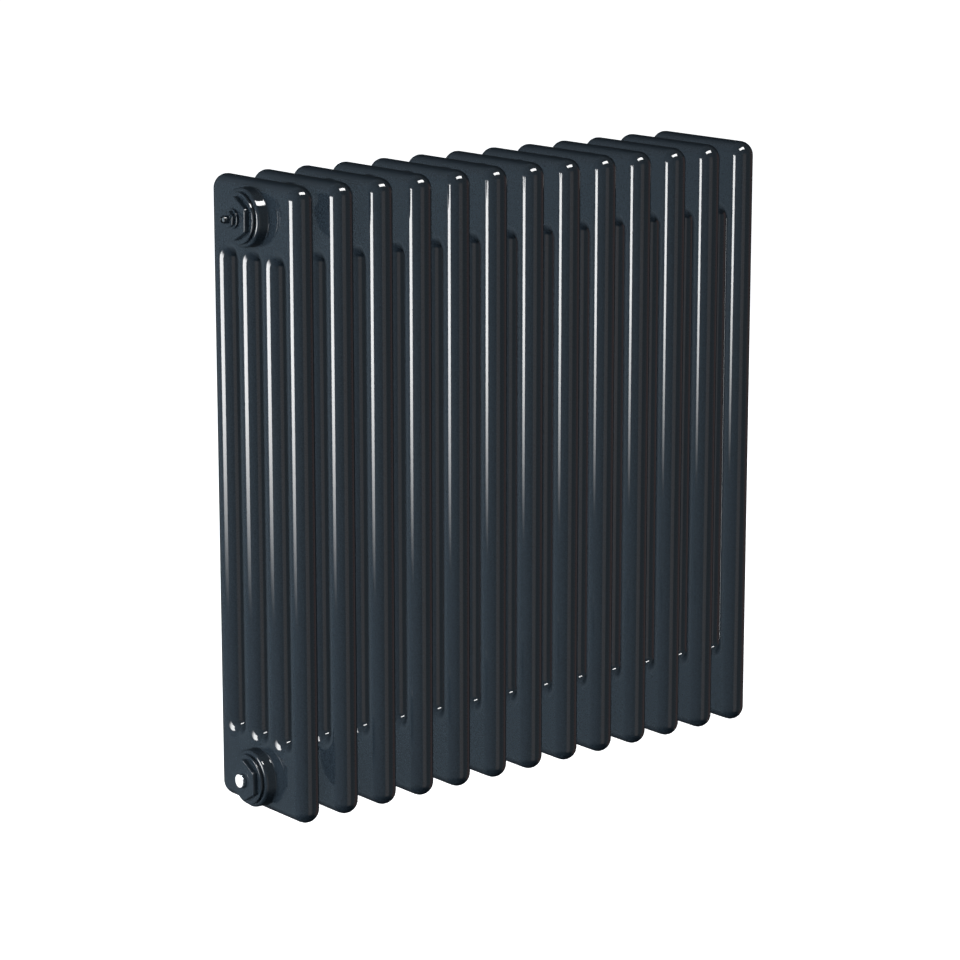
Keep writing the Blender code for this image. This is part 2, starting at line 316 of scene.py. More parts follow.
def tidy(bm: bmesh.types.BMesh) -> None:
    """Merges doubled vertices and turns every face outwards."""
    bmesh.ops.remove_doubles(bm, verts=bm.verts, dist=SAME_PLACE)
    bmesh.ops.dissolve_degenerate(bm, edges=bm.edges, dist=SAME_PLACE)
    bmesh.ops.recalc_face_normals(bm, faces=bm.faces)


def round_edges(
    bm: bmesh.types.BMesh,
    radius: float,
    segments: int,
    wanted: Callable[[bmesh.types.BMEdge], bool],
    sharper_than: float = 25.0,
) -> None:
    """Rounds the sharp edges that pass a test.

    Args:
        bm: The mesh.
        radius: The width of the rounding.
        segments: How many faces it has.
        wanted: The test.
        sharper_than: The least angle between an edge's faces, in degrees.
    """
    limit = math.radians(sharper_than)
    edges = [e for e in bm.edges if len(e.link_faces) == 2 and e.calc_face_angle() > limit and wanted(e)]
    bmesh.ops.bevel(
        bm,
        geom=edges,
        offset=radius,
        offset_type="OFFSET",
        segments=segments,
        profile=0.5,
        affect="EDGES",
        clamp_overlap=True,
        material=-1,
    )


def turn(bm: bmesh.types.BMesh, profile: Sequence[tuple[float, ...]], closed: bool, steps: int) -> None:
    """Spins a profile round the X axis.

    Args:
        bm: The mesh that the turned body is added to.
        profile: Points as (out, radius) or (out, radius, rounding), in order.
        closed: Whether the profile is a closed loop, or starts and ends on the axis.
        steps: How many faces there are round the axis.
    """
    part = bmesh.new()
    verts = [part.verts.new((-point[0], 0.0, point[1])) for point in profile]
    pairs = list(zip(verts, verts[1:]))
    if closed:
        pairs.append((verts[-1], verts[0]))
    for pair in pairs:
        part.edges.new(pair)
    for vert, point in zip(verts, profile):
        if len(point) > 2:
            bmesh.ops.bevel(
                part,
                geom=[vert],
                offset=point[2],
                offset_type="OFFSET",
                segments=4,
                profile=0.5,
                affect="VERTICES",
                clamp_overlap=True,
                material=-1,
            )
    bmesh.ops.spin(
        part,
        geom=part.verts[:] + part.edges[:],
        cent=(0, 0, 0),
        axis=(1, 0, 0),
        angle=FULL_TURN,
        steps=steps,
        use_merge=True,
    )
    tidy(part)
    absorb(bm, part)


def absorb(bm: bmesh.types.BMesh, part: bmesh.types.BMesh) -> None:
    """Adds one mesh to another and frees the first."""
    holder = bpy.data.meshes.new("holder")
    part.to_mesh(holder)
    part.free()
    bm.from_mesh(holder)
    bpy.data.meshes.remove(holder)


def hexagon(
    bm: bmesh.types.BMesh,
    across: float,
    bore: float,
    low: float,
    high: float,
    turned: float,
    rounding: float,
    corner: float,
) -> None:
    """Adds a hexagon nut round the X axis, with softened corners.

    Args:
        bm: The mesh that it is added to.
        across: The size across the flats.
        bore: The radius of the hole.
        low: The out distance of its inner face.
        high: The out distance of its outer face.
        turned: The turn about the axis, in degrees.
        rounding: The width of the softened edges.
        corner: The width of the rounding of the six corners.
    """
    part = bmesh.new()
    upright = Matrix.Rotation(math.radians(turned), 4, "X") @ Matrix.Rotation(-math.pi / 2, 4, "Y")
    spot = Matrix.Translation((-low, 0, 0)) @ upright
    bmesh.ops.create_circle(part, segments=6, radius=across / math.sqrt(3), matrix=spot)
    bmesh.ops.subdivide_edges(part, edges=part.edges[:], cuts=7)
    bmesh.ops.create_circle(part, segments=48, radius=bore, matrix=spot)
    bmesh.ops.bridge_loops(part, edges=part.edges[:])
    made = bmesh.ops.extrude_face_region(part, geom=part.faces[:], use_keep_orig=True)
    risen = [item for item in made["geom"] if isinstance(item, bmesh.types.BMVert)]
    bmesh.ops.translate(part, verts=risen, vec=(low - high, 0, 0))
    tidy(part)
    inner = across / 2 - rounding
    outer = across / math.sqrt(3) - SAME_PLACE
    round_edges(part, corner, 4, lambda e: all(math.hypot(v.co.y, v.co.z) > outer for v in e.verts))
    round_edges(part, rounding, 3, lambda e: all(math.hypot(v.co.y, v.co.z) > inner for v in e.verts))
    absorb(bm, part)


def finish_piece(
    name: str,
    bm: bmesh.types.BMesh,
    material: bpy.types.Material,
    nodes: Iterable[str],
    body: str = "radiator",
    wall: float = 0.0,
    open_light: bool = False,
) -> bpy.types.Object:
    """Makes a piece of a mesh, dresses it, gives it its body and hides the CAD nodes that it replaces.

    Args:
        name: The piece's name.
        bm: The mesh, in place. It is freed.
        material: The piece's material.
        nodes: The CAD nodes that the piece replaces.
        body: The body that it rides on.
        wall: The thickness of the sheet that the mesh is the outside of, or 0 for a solid.
        open_light: Whether the room's light reaches past the piece, so that it darkens no neighbour.

    Returns:
        The piece.
    """
    mesh = bpy.data.meshes.new(name)
    bm.to_mesh(mesh)
    bm.free()
    mesh.materials.append(material)
    mesh.shade_smooth()
    mesh.set_sharp_from_angle(angle=SHARP_ANGLE)
    piece = bpy.data.objects.new(name, mesh)
    bpy.context.scene.collection.objects.link(piece)
    if wall:
        sheet = piece.modifiers.new("sheet", "SOLIDIFY")
        sheet.thickness = wall
        sheet.offset = -1.0
        sheet.use_even_offset = True
    flats = piece.modifiers.new("flats", "WEIGHTED_NORMAL")
    flats.keep_sharp = True
    if open_light:
        piece.visible_glossy = False
        piece.visible_diffuse = False
        piece.visible_shadow = False
    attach(piece, body)
    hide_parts(*nodes)
    log.info("%s: %d faces, on %s", name, len(mesh.polygons), body)
    return piece


# The radiator's body


@dataclass
class SectionShape:
    """The rounded plate of one section, with its slots, worked out from the section's box."""

    low: Vector
    high: Vector
    columns: int = 4
    slot_end: float = 0.078
    corner: float = 0.014
    hub_height: float = 0.0335
    hub_bore: float = 0.019
    wall: float = 0.0015
    swell: float = 0.0008
    round_steps: int = 10
    corner_steps: int = 6
    slot_steps: int = 8
    hub_steps: int = 48
    tube_radius: float = field(init=False)
    half_depth: float = field(init=False)
    pitch: float = field(init=False)
    height: float = field(init=False)

    def __post_init__(self) -> None:
        """Works out the tube, the pitch between tubes and the height."""
        self.tube_radius = (self.high.x - self.low.x) / 2
        self.half_depth = (self.high.y - self.low.y) / 2
        self.pitch = 2 * (self.half_depth - self.tube_radius) / (self.columns - 1)
        self.height = self.high.z - self.low.z

    def outline(
        self,
        bm: bmesh.types.BMesh,
        middle: float,
        half: float,
        low: float,
        high: float,
        radius: float,
        steps: int,
    ) -> list[bmesh.types.BMEdge]:
        """Draws a rounded rectangle in the section's middle plane.

        Args:
            bm: The mesh.
            middle: The Y of its middle.
            half: Half its width.
            low: Its lowest Z.
            high: Its highest Z.
            radius: The radius of its corners.
            steps: How many edges a corner has.

        Returns:
            The edges of the outline.
        """
        before = set(bm.edges)
        made = bmesh.ops.create_grid(bm, x_segments=1, y_segments=1, size=1.0)["verts"]
        for vert in made:
            vert.co = (0.0, middle + half * vert.co.x, (low + high) / 2 + (high - low) / 2 * vert.co.y)
        bmesh.ops.bevel(
            bm,
            geom=made,
            offset=radius,
            offset_type="OFFSET",
            segments=steps,
            profile=0.5,
            affect="VERTICES",
            clamp_overlap=False,
            material=-1,
        )
        bmesh.ops.delete(bm, geom=bm.faces[:], context="FACES_ONLY")
        return [edge for edge in bm.edges if edge not in before]

    def roll(
        self,
        bm: bmesh.types.BMesh,
        edges: list[bmesh.types.BMEdge],
        core: tuple[Vector, Vector],
        sign: int,
        reach: float,
    ) -> None:
        """Rolls an outline's edge round the tube's side, from the middle plane to the flat side.

        Args:
            bm: The mesh.
            edges: The outline.
            core: The low and high corners of the box that the outline's corners are rounded about.
            sign: 1 where the metal lies inside the outline, -1 where it lies outside.
            reach: How far the flat side's edge lies from the outline.
        """
        for step in range(self.round_steps):
            before = math.pi / 2 * step / self.round_steps
            after = math.pi / 2 * (step + 1) / self.round_steps
            made = bmesh.ops.extrude_edge_only(bm, edges=edges)["geom"]
            edges = [item for item in made if isinstance(item, bmesh.types.BMEdge)]
            inset = reach * (math.cos(before) - math.cos(after))
            for vert in (item for item in made if isinstance(item, bmesh.types.BMVert)):
                near = Vector((vert.co.x, *(min(max(vert.co[i], core[0][i]), core[1][i]) for i in (1, 2))))
                vert.co += (near - vert.co).normalized() * (sign * inset)
                vert.co.x = self.tube_radius * math.sin(after)

    def build(self) -> bmesh.types.BMesh:
        """Builds the outside of a section about the plane X = 0, open at its four hub bores.

        Returns:
            The mesh.
        """
        bm = bmesh.new()
        slot_low = self.slot_end
        slot_high = self.height - self.slot_end
        side = self.half_depth - self.corner
        self.outline(bm, 0.0, self.half_depth, 0.0, self.height, self.corner, self.corner_steps)
        for z in (slot_low, slot_high):
            whole = bm.verts[:] + bm.edges[:]
            bmesh.ops.bisect_plane(bm, geom=whole, dist=SAME_PLACE, plane_co=(0, 0, z), plane_no=(0, 0, 1))
        rim = bm.edges[:]
        core = (Vector((0, -side, self.corner)), Vector((0, side, self.height - self.corner)))
        self.roll(bm, rim, core, 1, self.tube_radius)
        reach = self.tube_radius + self.swell
        gap = self.pitch / 2 - reach
        for slot in range(self.columns - 1):
            y = self.pitch * (slot + 1 - self.columns / 2)
            hole = self.slot_outline(bm, y, gap, slot_low - gap, slot_high + gap)
            self.roll(bm, hole, (Vector((0, y, slot_low)), Vector((0, y, slot_high))), -1, reach)
        bmesh.ops.remove_doubles(bm, verts=bm.verts, dist=NEARBY)
        self.fill_flats(bm)
        whole = bm.verts[:] + bm.edges[:] + bm.faces[:]
        bmesh.ops.mirror(bm, geom=whole, matrix=Matrix(), merge_dist=SAME_PLACE, axis="X")
        tidy(bm)
        return bm

    def slot_outline(
        self, bm: bmesh.types.BMesh, middle: float, half: float, low: float, high: float
    ) -> list[bmesh.types.BMEdge]:
        """Draws a slot with half-round ends, away from the faces that are already made.

        Args:
            bm: The mesh.
            middle: The Y of its middle.
            half: Half its width.
            low: Its lowest Z.
            high: Its highest Z.

        Returns:
            The edges of the outline.
        """
        part = bmesh.new()
        self.outline(part, middle, half, low, high, half, self.slot_steps)
        bmesh.ops.remove_doubles(part, verts=part.verts, dist=SAME_PLACE)
        before = set(bm.edges)
        absorb(bm, part)
        return [edge for edge in bm.edges if edge not in before]

    def fill_flats(self, bm: bmesh.types.BMesh) -> None:
        """Fills the flat side of both heads round their hub bores.

        Args:
            bm: The half section, rolled and merged.
        """
        side = self.tube_radius
        for level in (self.hub_height, self.height - self.hub_height):
            edges = [e for e in bm.edges if e.is_boundary]
            edges = [e for e in edges if all(abs(v.co.x - side) < NEARBY for v in e.verts)]
            edges = [e for e in edges if all(abs(v.co.z - level) < self.slot_end for v in e.verts)]
            spot = Matrix.Translation((side, 0, level)) @ Matrix.Rotation(math.pi / 2, 4, "Y")
            ring = bmesh.ops.create_circle(bm, segments=self.hub_steps, radius=self.hub_bore, matrix=spot)
            edges += list({edge for vert in ring["verts"] for edge in vert.link_edges})
            bmesh.ops.triangle_fill(bm, edges=edges, use_beauty=True, use_dissolve=False)


class Sections:
    """The thirteen sections."""

    def __init__(self, count: int, finishes: Finishes) -> None:
        """Takes the shape of a section from the first section's box.

        Args:
            count: How many sections there are.
            finishes: The object's materials.
        """
        self.count = count
        self.finishes = finishes
        self.boxes = [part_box(f"section_{number:02d}") for number in range(1, count + 1)]
        self.shape = SectionShape(Vector(self.boxes[0][0]), Vector(self.boxes[0][1]))

    def build(self) -> None:
        """Builds one section and sets a copy of it in each section's place."""
        master = self.shape.build()
        for number, box in enumerate(self.boxes, 1):
            middle = (box[0][0] + box[1][0]) / 2
            copy = master.copy()
            bmesh.ops.translate(copy, verts=copy.verts, vec=(middle, 0, 0))
            name = f"section_{number:02d}"
            paint = self.finishes.by_slot[Slot.PAINT]
            wall = self.shape.wall
            finish_piece(f"steel_{name}", copy, paint, [name], wall=wall, open_light=True)
        master.free()


@dataclass
class HubRings:
    """The rings that join each section to the next, with a fine weld bead at each end."""

    count: int
    finishes: Finishes
    bore: float = 0.019
    bead: float = 0.0007
    touch: float = 0.0004
    steps: int = 72

    def build(self) -> None:
        """Builds every ring in the box of its node."""
        for number in range(1, self.count + 1):
            for level in Level:
                node = f"hub_ring_{level.value}_{number:02d}"
                self.build_ring(node)

    def build_ring(self, node: str) -> None:
        """Builds one ring.

        Args:
            node: The CAD node that it stands for.
        """
        low, high = (Vector(corner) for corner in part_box(node))
        radius = (high.z - low.z) / 2
        left = -(high.x - low.x) / 2 - self.touch
        bm = bmesh.new()
        soft = self.bead * 0.8
        foot = left + 2.4 * self.bead
        profile = [
            (left, self.bore),
            (left, radius + self.bead, soft),
            (foot, radius, soft),
            (-foot, radius, soft),
            (-left, radius + self.bead, soft),
            (-left, self.bore),
        ]
        turn(bm, profile, True, self.steps)
        bmesh.ops.translate(bm, verts=bm.verts, vec=(low + high) / 2)
        paint = self.finishes.by_slot[Slot.PAINT]
        finish_piece(f"weld_{node}", bm, paint, [node], open_light=True)


# Fittings


@dataclass
class Port:
    """One port of an end section: where its axis is and which way it faces."""

    end: End
    level: Level
    side: float
    axis_height: float

    @property
    def label(self) -> str:
        """The port's words in a node name."""
        return f"{self.level.value}_{self.end.value}"

    def settle(self, bm: bmesh.types.BMesh) -> None:
        """Moves a fitting from its own axis to the port.

        Args:
            bm: The fitting, made round the X axis with its outward end towards -X.
        """
        facing = Matrix.Rotation(math.pi, 4, "Z") if self.end is End.RIGHT else Matrix()
        spot = Matrix.Translation((self.side, 0, self.axis_height)) @ facing
        bmesh.ops.transform(bm, matrix=spot, verts=bm.verts)


@dataclass
class EndFittings:
    """The boss, gasket and reducing bush of one port."""

    port: Port
    finishes: Finishes
    turned: float
    open_bore: bool
    boss_radius: float = 0.0275
    boss_bore: float = 0.0198
    boss_out: float = 0.0117
    boss_round: float = 0.0028
    bead: float = 0.0005
    gasket_in: float = 0.0116
    gasket_out: float = 0.0132
    gasket_inner: float = 0.0198
    gasket_outer: float = 0.0226
    neck_radius: float = 0.0195
    cup_radius: float = 0.016
    neck_in: float = 0.001
    flange_in: float = 0.0131
    flange_out: float = 0.0153
    flange_radius: float = 0.024
    hex_out: float = 0.02
    hex_across: float = 0.036
    hex_rounding: float = 0.0009
    hex_corner: float = 0.0016
    small_bore: float = 0.0049
    large_bore: float = 0.0098
    filled_depth: float = 0.012
    open_depth: float = 0.014
    thread_pitch: float = 0.001814
    thread_depth: float = 0.0009
    steps: int = 96

    def build(self) -> None:
        """Builds the three pieces."""
        self.build_boss()
        self.build_gasket()
        self.build_bush()

    def build_boss(self) -> None:
        """Builds the threaded end boss, its outer edge well rounded and its foot welded to the head."""
        bm = bmesh.new()
        profile = [
            (-0.0002, self.boss_bore),
            (-0.0002, self.boss_radius + self.bead, self.bead * 0.4),
            (1.6 * self.bead, self.boss_radius, self.bead * 0.6),
            (self.boss_out, self.boss_radius, self.boss_round),
            (self.boss_out, self.boss_bore),
        ]
        turn(bm, profile, True, self.steps)
        self.port.settle(bm)
        node = f"end_boss_{self.port.label}"
        finish_piece(f"threaded_{node}", bm, self.finishes.by_slot[Slot.PAINT], [node])

    def build_gasket(self) -> None:
        """Builds the flat gasket between the boss and the flange."""
        bm = bmesh.new()
        profile = [
            (self.gasket_in, self.gasket_inner),
            (self.gasket_in, self.gasket_outer, 0.0003),
            (self.gasket_out, self.gasket_outer, 0.0003),
            (self.gasket_out, self.gasket_inner),
        ]
        turn(bm, profile, True, self.steps)
        self.port.settle(bm)
        node = f"bush_gasket_{self.port.label}"
        finish_piece(f"flat_{node}", bm, self.finishes.by_slot[Slot.RUBBER], [node])

    def build_bush(self) -> None:
        """Builds the reducing bush: hollow neck, flange, hexagon and its smaller port."""
        bm = bmesh.new()
        bore = self.large_bore if self.open_bore else self.small_bore
        floor = self.hex_out - (self.open_depth if self.open_bore else self.filled_depth)
        profile = [
            (self.neck_in, self.cup_radius),
            (self.neck_in, self.neck_radius, 0.0005),
            (self.flange_in, self.neck_radius),
            (self.flange_in, self.flange_radius, 0.0004),
            (self.flange_out, self.flange_radius, 0.0009),
            (self.flange_out, bore),
            (floor, bore),
            (floor, self.cup_radius),
        ]
        turn(bm, profile, True, self.steps)
        low = self.flange_out - OVERLAP
        out = self.hex_out
        hexagon(bm, self.hex_across, bore, low, out, self.turned, self.hex_rounding, self.hex_corner)
        if self.open_bore:
            self.add_thread(bm, bore, floor)
        self.port.settle(bm)
        node = f"reducing_bush_{self.port.label}"
        finish_piece(f"painted_{node}", bm, self.finishes.by_slot[Slot.PAINT], [node])

    def add_thread(self, bm: bmesh.types.BMesh, bore: float, floor: float) -> None:
        """Adds the pipe thread of an open port, as a helical ridge on the bore's wall.

        Args:
            bm: The bush.
            bore: The radius of the port.
            floor: The out distance where the port ends.
        """
        part = bmesh.new()
        run = self.hex_out - floor - 1.6 * self.thread_pitch
        turns = run / self.thread_pitch
        steps = round(32 * turns)
        start = floor + 0.5 * self.thread_pitch
        half = 0.46 * self.thread_pitch
        root = bore + 0.0002
        corners = [(start - half, root), (start, bore - self.thread_depth), (start + half, root)]
        verts = [part.verts.new((-out, 0.0, radius)) for out, radius in corners]
        face = part.faces.new(verts)
        bmesh.ops.spin(
            part,
            geom=[face, *face.verts, *face.edges],
            cent=(0, 0, 0),
            axis=(1, 0, 0),
            dvec=(-run / steps, 0, 0),
            angle=FULL_TURN * turns,
            steps=steps,
            use_merge=False,
        )
        tidy(part)
        absorb(bm, part)


@dataclass
class AirVent:
    """The air vent: body, O-ring, seal tip and the bleed screw in its collar."""

    port: Port
    finishes: Finishes
    seat: float = 0.0203
    shank_radius: float = 0.0046
    shank_in: float = 0.009
    flange_radius: float = 0.00935
    flange_out: float = 0.0225
    neck_radius: float = 0.0055
    hex_in: float = 0.0229
    hex_out: float = 0.0257
    hex_across: float = 0.0135
    collar_radius: float = 0.00375
    collar_out: float = 0.032
    recess_radius: float = 0.00299
    recess_floor: float = 0.0273
    screw_bore: float = 0.0021
    inlet: float = 0.0011
    screw_square: float = 0.0038
    screw_round: float = 0.00035
    hex_turned: float = 38.0
    hex_rounding: float = 0.0005
    hex_corner: float = 0.0007
    undercut: float = 0.0012
    groove: float = 0.0016
    play: float = 0.0003
    steps: int = 64

    def build(self) -> None:
        """Builds the four pieces."""
        self.build_body()
        self.build_o_ring()
        self.build_screw()
        self.build_seal()

    def build_body(self) -> None:
        """Builds the body: shank, flange, hexagon and the collar with its recess."""
        bm = bmesh.new()
        profile = [
            (self.shank_in, self.inlet),
            (self.shank_in, self.shank_radius, 0.0003),
            (self.seat + self.undercut, self.shank_radius),
            (self.seat + self.undercut, self.shank_radius + self.groove),
            (self.seat, self.shank_radius + self.groove),
            (self.seat, self.flange_radius, 0.0004),
            (self.flange_out, self.flange_radius, 0.0006),
            (self.flange_out, self.neck_radius),
            (self.hex_out, self.neck_radius, 0.0003),
            (self.hex_out, self.collar_radius, 0.0002),
            (self.collar_out, self.collar_radius, 0.0002),
            (self.collar_out, self.recess_radius, 0.0002),
            (self.recess_floor, self.recess_radius),
            (self.recess_floor, self.screw_bore),
            (self.shank_in + 0.0016, self.screw_bore),
            (self.shank_in + 0.0016, self.inlet),
        ]
        turn(bm, profile, True, self.steps)
        bore = self.neck_radius - 0.0002
        low, high = self.hex_in, self.hex_out
        hexagon(bm, self.hex_across, bore, low, high, self.hex_turned, self.hex_rounding, self.hex_corner)
        self.port.settle(bm)
        paint = self.finishes.by_slot[Slot.PAINT]
        finish_piece("vent_body", bm, paint, ["air_vent_body"])

    def build_o_ring(self) -> None:
        """Builds the O-ring under the flange."""
        o_ring("vent_o_ring", self.finishes, "air_vent_o_ring")

    def build_screw(self) -> None:
        """Builds the bleed screw: a round stem and a square head with softened edges."""
        low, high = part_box("air_vent_screw")
        inner = self.port.side - high[0]
        outer = self.port.side - low[0]
        head_in = self.recess_floor + self.play
        stem = self.screw_bore - self.play
        stem_end = head_in + 0.0004
        bm = bmesh.new()
        turn(bm, [(inner, 0.0), (inner, stem, 0.0002), (stem_end, stem), (stem_end, 0.0)], False, 32)
        part = bmesh.new()
        bmesh.ops.create_cube(part, size=1.0)
        size = Matrix.Diagonal((outer - head_in, self.screw_square, self.screw_square, 1.0))
        spot = Matrix.Translation((-(outer + head_in) / 2, 0, 0))
        bmesh.ops.transform(part, matrix=spot @ size, verts=part.verts)
        round_edges(part, self.screw_round, 3, lambda e: True)
        absorb(bm, part)
        self.port.settle(bm)
        chrome = self.finishes.by_slot[Slot.CHROME]
        finish_piece("vent_bleed_screw", bm, chrome, ["air_vent_screw"], body="bleed_screw")

    def build_seal(self) -> None:
        """Builds the soft tip that closes the vent's seat."""
        low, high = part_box("air_vent_seal")
        inner = self.port.side - high[0]
        outer = self.port.side - low[0]
        radius = (high[2] - low[2]) / 2
        bm = bmesh.new()
        profile = [
            (inner, 0.0),
            (inner, 0.45 * radius, 0.0001),
            ((inner + outer) / 2, radius, 0.0002),
            (outer, radius, 0.0001),
            (outer, 0.0),
        ]
        turn(bm, profile, False, 32)
        self.port.settle(bm)
        rubber = self.finishes.by_slot[Slot.RUBBER]
        finish_piece("vent_seal_tip", bm, rubber, ["air_vent_seal"], body="bleed_seal")


def o_ring(name: str, finishes: Finishes, node: str) -> None:
    """Builds an O-ring that fills the box of its node.

    Args:
        name: The piece's name.
        finishes: The object's materials.
        node: The CAD node that it stands for.
    """
    low, high = (Vector(corner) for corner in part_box(node))
    cord = (high.x - low.x) / 2
    radius = (high.z - low.z) / 2 - cord
    bm = bmesh.new()
    upright = Matrix.Rotation(math.pi / 2, 4, "X")
    spot = Matrix.Translation((0, 0, radius)) @ upright
    circle = bmesh.ops.create_circle(bm, segments=16, radius=cord, matrix=spot)["verts"]
    edges = list({edge for vert in circle for edge in vert.link_edges})
    bmesh.ops.spin(
        bm,
        geom=circle + edges,
        cent=(0, 0, 0),
        axis=(1, 0, 0),
        angle=FULL_TURN,
        steps=48,
        use_merge=True,
    )
    tidy(bm)
    bmesh.ops.translate(bm, verts=bm.verts, vec=(low + high) / 2)
    finish_piece(name, bm, finishes.by_slot[Slot.RUBBER], [node])


@dataclass
class BlankingPlug:
    """The blanking plug: shank, O-ring and a low head with a scalloped rim and a face painted near white as a
    painted reflection of a light.
    """

    port: Port
    finishes: Finishes
    seat: float = 0.0203
    shank_in: float = 0.009
    shank_radius: float = 0.0046
    rim_radius: float = 0.0072
    rim_out: float = 0.0233
    face_radius: float = 0.0061
    face_out: float = 0.0238
    scallops: int = 12
    scallop_depth: float = 0.0006
    undercut: float = 0.0012
    groove: float = 0.0016

    def build(self) -> None:
        """Builds the plug and its O-ring."""
        bm = bmesh.new()
        profile = [
            (self.shank_in, 0.0),
            (self.shank_in, self.shank_radius, 0.0003),
            (self.seat + self.undercut, self.shank_radius),
            (self.seat + self.undercut, self.shank_radius + self.groove),
            (self.seat, self.shank_radius + self.groove),
            (self.seat, self.rim_radius, 0.0002),
            (self.rim_out, self.rim_radius, 0.0005),
            (self.face_out, self.face_radius, 0.0003),
            (self.face_out, 0.0),
        ]
        turn(bm, profile, False, 8 * self.scallops)
        for vert in bm.verts:
            radius = math.hypot(vert.co.y, vert.co.z)
            if radius > self.face_radius + 0.0003:
                angle = math.atan2(vert.co.z, vert.co.y)
                wanted = radius - self.scallop_depth * (1 - math.cos(self.scallops * angle)) / 2
                vert.co.yz = vert.co.yz * (wanted / radius)
        tidy(bm)
        self.port.settle(bm)
        chrome = self.finishes.by_slot[Slot.CHROME]
        head = finish_piece("blanking_plug_head", bm, chrome, ["blanking_plug"])
        # The plug's face takes the near-white painted reflection material.
        head.data.materials.append(self.finishes.painted_reflection)
        # Faces of the flat end take the second material, the painted reflection.
        face = self.port.side - self.face_out
        for polygon in head.data.polygons:
            if abs(polygon.center.x - face) < 0.0002:
                polygon.material_index = 1
        o_ring("plug_o_ring", self.finishes, "blanking_plug_o_ring")


# The room


@dataclass(frozen=True)
class Card:
    """A glowing card that the camera doesn't see, dark below fade_low and fully bright above fade_high.

    A matt card lights surfaces without being mirrored in them. Any other card is only mirrored.
    """

    name: str
    centre: tuple[float, float, float]
    facing: tuple[float, float, float]
    size: tuple[float, float]
    colour: tuple[float, float, float]
    strength: float
    fade_low: float = -100.0
    fade_high: float = -99.0
    matt: bool = False

    def build(self) -> None:
        """Builds the card, its light fading out between two heights."""
        bm = bmesh.new()
        bmesh.ops.create_grid(bm, x_segments=1, y_segments=1, size=0.5)
        turn_to = Vector(self.facing).to_track_quat("Z", "Y").to_matrix().to_4x4()
        scale = Matrix.Diagonal((self.size[0], self.size[1], 1.0, 1.0))
        bmesh.ops.transform(bm, matrix=Matrix.Translation(self.centre) @ turn_to @ scale, verts=bm.verts)
        mesh = bpy.data.meshes.new(self.name)
        bm.to_mesh(mesh)
        bm.free()
        sketch = NodeSketch(self.name)
        sketch.tree.nodes.remove(sketch.shader)
        place = sketch.add("ShaderNodeTexCoord")
        split = sketch.add("ShaderNodeSeparateXYZ")
        sketch.join(place.outputs["Object"], split.inputs["Vector"])
        fade = sketch.add("ShaderNodeMapRange", interpolation_type="SMOOTHSTEP")
        fade.inputs["From Min"].default_value = self.fade_low
        fade.inputs["From Max"].default_value = self.fade_high
        fade.inputs["To Max"].default_value = self.strength
        sketch.join(split.outputs["Z"], fade.inputs["Value"])
        glow = sketch.add("ShaderNodeEmission")
        glow.inputs["Color"].default_value = (*self.colour, 1.0)
        sketch.join(fade.outputs["Result"], glow.inputs["Strength"])
        back = sketch.add("ShaderNodeNewGeometry")
        dark = sketch.add("ShaderNodeEmission", Strength=0.0)
        pick = sketch.add("ShaderNodeMixShader")
        sketch.join(back.outputs["Backfacing"], pick.inputs["Fac"])
        sketch.join(glow.outputs["Emission"], pick.inputs[1])
        sketch.join(dark.outputs["Emission"], pick.inputs[2])
        sketch.join(pick.outputs["Shader"], sketch.tree.nodes["Material Output"].inputs["Surface"])
        mesh.materials.append(sketch.material)
        card = bpy.data.objects.new(self.name, mesh)
        bpy.context.scene.collection.objects.link(card)
        card.visible_camera = False
        card.visible_shadow = False
        card.visible_glossy = not self.matt
        card.visible_diffuse = self.matt
        log.info("%s: card of %.1f by %.1f m", self.name, *self.size)


